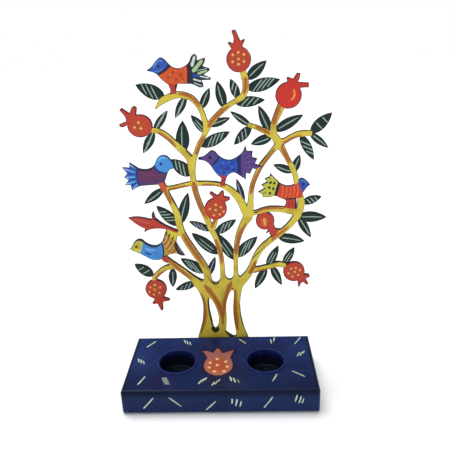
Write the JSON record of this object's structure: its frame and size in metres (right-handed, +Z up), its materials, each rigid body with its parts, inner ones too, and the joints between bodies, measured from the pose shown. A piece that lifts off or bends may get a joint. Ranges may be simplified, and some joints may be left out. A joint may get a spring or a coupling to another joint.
{
  "type": "tree candle holder",
  "caption": "Flat cut-plate tree of life with birds, leaves and pomegranates, standing at the back of a low folded base that holds drop-in tealight cups.",
  "frame": {"origin": "middle of the whole candle holder's footprint, on the floor that the rubber feet stand on", "axes": "+X to the right as seen from the front, +Y towards the tree at the back, +Z up"},
  "size_m": [0.2214, 0.1044, 0.369],
  "materials": {
    "navy_enamel": "gloss",
    "bare_steel": "brushed",
    "cup_enamel": "gloss",
    "rubber": "matte",
    "zinc_steel": "satin",
    "leaf_enamel": "satin",
    "fruit_enamel": "satin",
    "bud_enamel": "satin",
    "orange_bird": "satin",
    "purple_bird": "satin",
    "blue_bird": "satin",
    "red_bird": "satin",
    "pale_blue_bird": "satin",
    "bark_enamel": "satin"
  },
  "bodies": {
    "holder": {"base_top": "navy_enamel", "base_skirt": "navy_enamel", "bottom_plate": "bare_steel", "foot_front_left": "rubber", "foot_front_right": "rubber", "foot_back_left": "rubber", "foot_back_right": "rubber", "plate_screw_front_left": "zinc_steel", "plate_screw_front_right": "zinc_steel", "plate_screw_back_left": "zinc_steel", "plate_screw_back_right": "zinc_steel", "tree_screw_left": "zinc_steel", "tree_screw_right": "zinc_steel", "tree_nut_left": "zinc_steel", "tree_nut_right": "zinc_steel", "trunk": "bark_enamel", "bough_low_left": "bark_enamel", "bough_left": "bark_enamel", "bough_centre": "bark_enamel", "bough_centre_right": "bark_enamel", "bough_right": "bark_enamel", "twig_low_right": "bark_enamel", "branch_cross": "bark_enamel", "branch_arc": "bark_enamel", "crown_left": "bark_enamel", "crown_centre": "bark_enamel", "crown_top_left": "bark_enamel", "crown_right": "bark_enamel", "bird_top_left": "orange_bird", "bird_left": "purple_bird", "bird_centre": "blue_bird", "bird_right": "red_bird", "bird_low_left": "pale_blue_bird", "fruit_top": "fruit_enamel", "fruit_top_right": "fruit_enamel", "fruit_left": "fruit_enamel", "fruit_centre": "fruit_enamel", "fruit_small": "fruit_enamel", "fruit_low_right": "fruit_enamel", "fruit_low_left": "fruit_enamel", "red_bud": "bud_enamel", "leaves_low_left": "leaf_enamel", "leaves_left": "leaf_enamel", "leaves_left_tip": "leaf_enamel", "leaves_centre": "leaf_enamel", "leaves_centre_right": "leaf_enamel", "leaves_low_right": "leaf_enamel", "leaves_right": "leaf_enamel", "leaves_upper_right": "leaf_enamel", "leaves_crown_right": "leaf_enamel", "leaves_crown_tip": "leaf_enamel", "leaves_top_right": "leaf_enamel", "leaves_top_centre": "leaf_enamel", "leaves_top_left": "leaf_enamel"},
    "cup_left": {"cup_left": "cup_enamel"},
    "cup_right": {"cup_right": "cup_enamel"}
  },
  "joints": [
    {"name": "cup_left_lift", "type": "slide", "parent": "holder", "child": "cup_left", "axis": [0, 0, 1], "range_m": [0, 0.03]},
    {"name": "cup_right_lift", "type": "slide", "parent": "holder", "child": "cup_right", "axis": [0, 0, 1], "range_m": [0, 0.03]}
  ]
}
